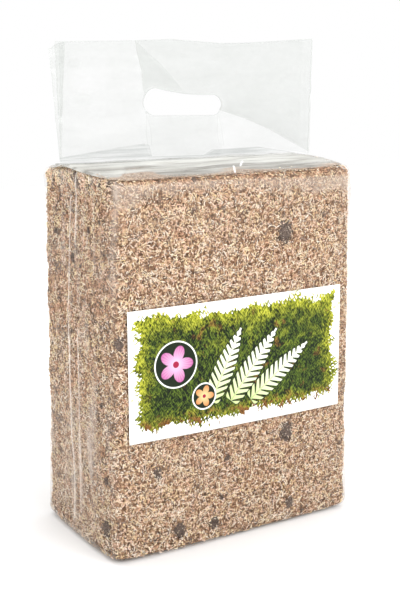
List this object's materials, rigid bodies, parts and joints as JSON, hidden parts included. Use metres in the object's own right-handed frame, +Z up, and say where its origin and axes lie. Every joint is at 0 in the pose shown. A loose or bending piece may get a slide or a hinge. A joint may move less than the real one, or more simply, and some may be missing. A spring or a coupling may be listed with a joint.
{
  "type": "bagged sphagnum moss bale",
  "caption": "Upright pressed bale of dried sphagnum moss in a clear film bag with a flat header, a hand hole to carry it by, and a paper label on the front.",
  "frame": {"origin": "middle of the underside of the bale, on the surface it stands on", "axes": "+Z up through the bale to the header, -Y out of the front face that has the label, +X to the label's right"},
  "size_m": [0.309, 0.1695, 0.512],
  "materials": {
    "dried_moss": "dry matt plant fibre",
    "clear_film": "thin glossy clear film",
    "printed_paper": "coated paper, satin"
  },
  "bodies": {
    "root": {"moss_block": "dried_moss", "film_bag": "clear_film", "film_header": "clear_film", "label": "printed_paper"}
  },
  "joints": []
}
